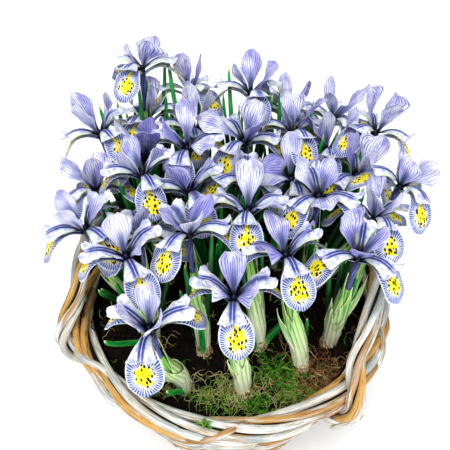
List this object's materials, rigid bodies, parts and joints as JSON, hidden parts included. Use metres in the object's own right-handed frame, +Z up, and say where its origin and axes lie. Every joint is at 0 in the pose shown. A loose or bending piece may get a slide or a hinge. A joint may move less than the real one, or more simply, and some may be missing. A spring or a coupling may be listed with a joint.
{
  "type": "planted basket of dwarf irises",
  "caption": "Round whitewashed willow basket with two ear handles and a dark liner, planted with pale blue dwarf netted irises in full flower, with yellow signals and dark veins on the falls.",
  "frame": {"origin": "middle of the flat underside of the basket", "axes": "+Z up, -Y the front with bare soil and moss inside the rim, +X to the right, where the near foot of the right handle is in front"},
  "size_m": [0.2773, 0.2891, 0.2791],
  "materials": {
    "willow": "whitewashed and worn, with tan bark showing",
    "liner": "crumpled dark film",
    "soil": "crumbly and damp, with moss",
    "greens": "fresh leaf, cream at the sheaths",
    "petals": "soft and slightly translucent, with dark veins and yellow signals"
  },
  "bodies": {
    "root": {"basket_base": "willow", "basket_wall": "willow", "basket_rim": "willow", "handle_right": "willow", "handle_left": "willow", "liner": "liner", "soil": "soil", "shoots_1": "greens", "shoots_2": "greens", "shoots_3": "greens", "shoots_4": "greens", "shoots_5": "greens", "shoots_6": "greens", "shoots_7": "greens", "shoots_8": "greens", "shoots_9": "greens", "shoots_10": "greens", "shoots_11": "greens", "shoots_12": "greens", "shoots_13": "greens", "shoots_14": "greens", "shoots_15": "greens", "shoots_16": "greens", "shoots_17": "greens", "flower_1": "petals", "flower_2": "petals", "flower_3": "petals", "flower_4": "petals", "flower_5": "petals", "flower_6": "petals", "flower_7": "petals", "flower_8": "petals", "flower_9": "petals", "flower_10": "petals", "flower_11": "petals", "flower_12": "petals", "flower_13": "petals", "flower_14": "petals", "flower_15": "petals", "flower_16": "petals", "flower_17": "petals", "flower_18": "petals", "flower_19": "petals", "flower_20": "petals", "flower_21": "petals", "flower_22": "petals", "flower_23": "petals", "flower_24": "petals", "flower_25": "petals", "flower_26": "petals", "flower_27": "petals", "flower_28": "petals", "flower_29": "petals", "flower_30": "petals", "flower_31": "petals", "flower_32": "petals"}
  },
  "joints": []
}
